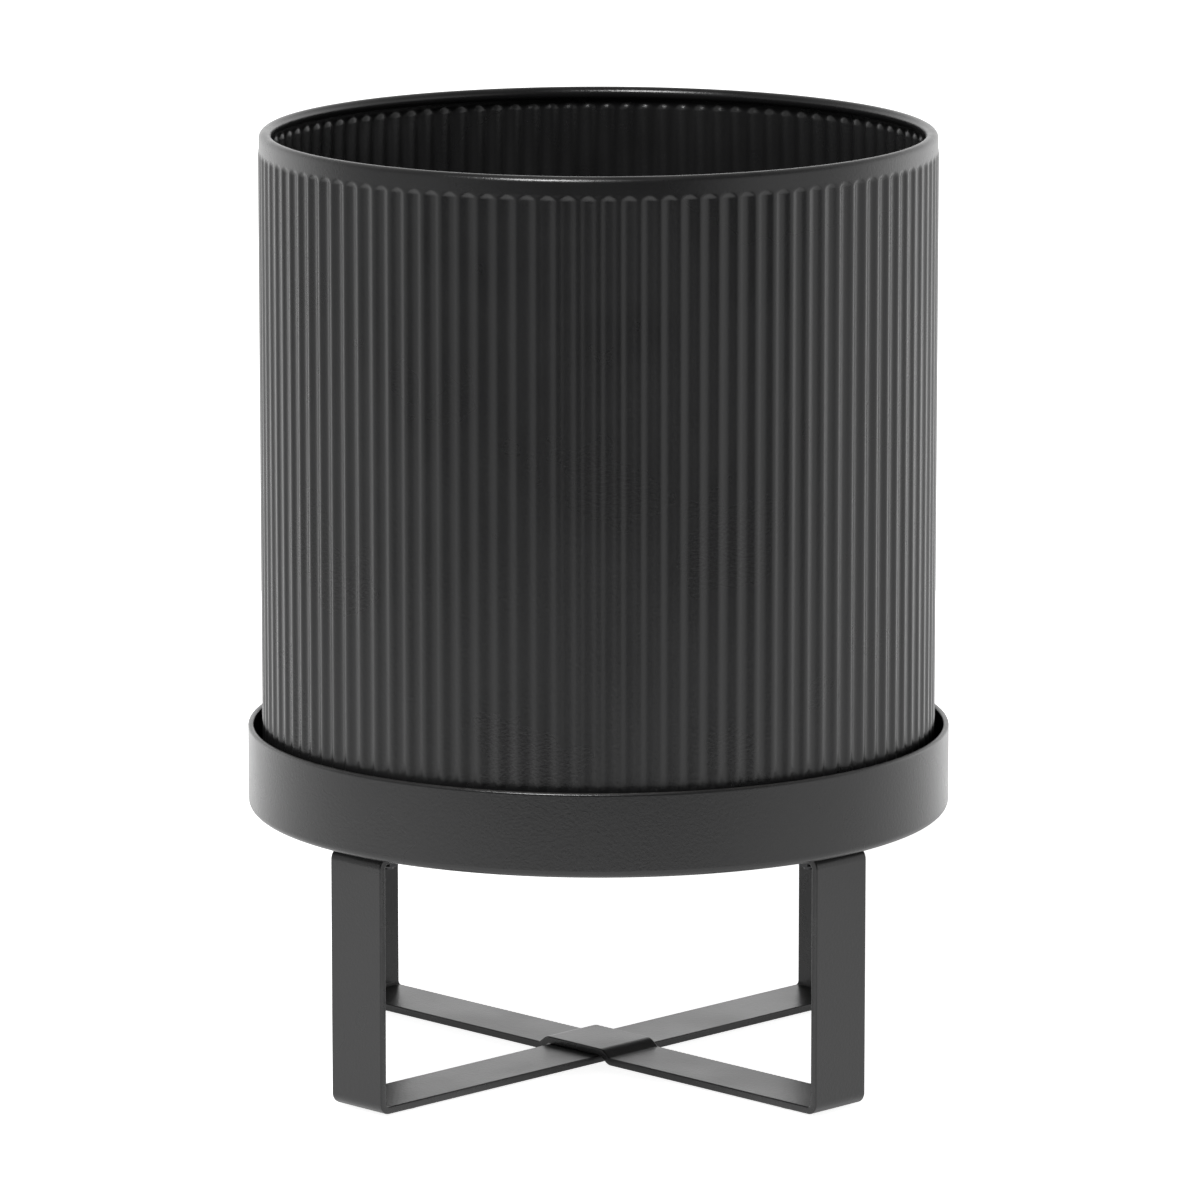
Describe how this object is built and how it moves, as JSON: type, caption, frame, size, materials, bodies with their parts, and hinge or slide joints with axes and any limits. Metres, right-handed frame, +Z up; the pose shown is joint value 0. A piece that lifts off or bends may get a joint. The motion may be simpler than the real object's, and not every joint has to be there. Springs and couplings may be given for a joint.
{
  "type": "fluted bin on tray stand",
  "caption": "Open round steel bin with a fluted wall and rolled rim, standing loose in a round tray on two crossed flat-bar leg frames.",
  "frame": {"origin": "on the floor, under the centre of the tray", "axes": "+Z up; front towards -Y; the four legs stand on the diagonals of X and Y"},
  "size_m": [0.28, 0.28, 0.375],
  "materials": {
    "wall_coat": "satin black powder coat",
    "tray_coat": "satin black powder coat",
    "leg_coat": "satin black powder coat",
    "wire_steel": "drawn wire",
    "screw_steel": "black zinc plated",
    "rubber_feet": "matt moulded",
    "rubber_washers": "matt"
  },
  "bodies": {
    "stand": {"foot_pads": "rubber_feet", "lower_leg_frame": "leg_coat", "upper_leg_frame": "leg_coat", "tray": "tray_coat", "tray_screws": "screw_steel", "sealing_washers": "rubber_washers", "lock_nuts": "screw_steel"},
    "bin": {"fluted_wall": "wall_coat", "rim_wire": "wire_steel", "bin_floor": "wall_coat", "bin_feet": "rubber_feet"}
  },
  "joints": [
    {"name": "bin_lift", "type": "slide", "parent": "stand", "child": "bin", "axis": [0, 0, 1], "range_m": [0, 0.06]}
  ]
}
